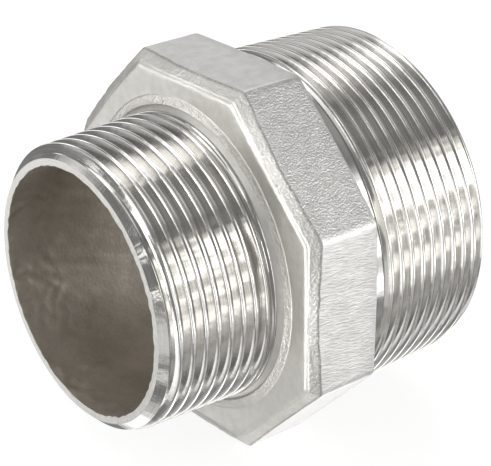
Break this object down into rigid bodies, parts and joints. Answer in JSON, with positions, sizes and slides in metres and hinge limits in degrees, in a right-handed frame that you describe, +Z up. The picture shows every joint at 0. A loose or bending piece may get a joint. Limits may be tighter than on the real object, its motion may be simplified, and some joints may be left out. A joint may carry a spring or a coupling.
{
  "type": "reducing pipe nipple",
  "caption": "Reducing pipe nipple in stainless steel: an octagonal wrench section between a smaller and a larger outside taper thread, with a bore right through.",
  "frame": {"origin": "on the surface that the part lies on, below the middle of its length, in the plane of the lowest wrench flat", "axes": "+X along the bore from the small end to the large end, +Z up and square to the wrench flat that the part lies on, +Y to the side"},
  "size_m": [0.0612, 0.063, 0.063],
  "materials": {
    "stainless_steel": "machined bright on the threads and end faces, blasted satin as-cast on the wrench section and in the bore"
  },
  "bodies": {
    "root": {"nipple_body": "stainless_steel"}
  },
  "joints": []
}
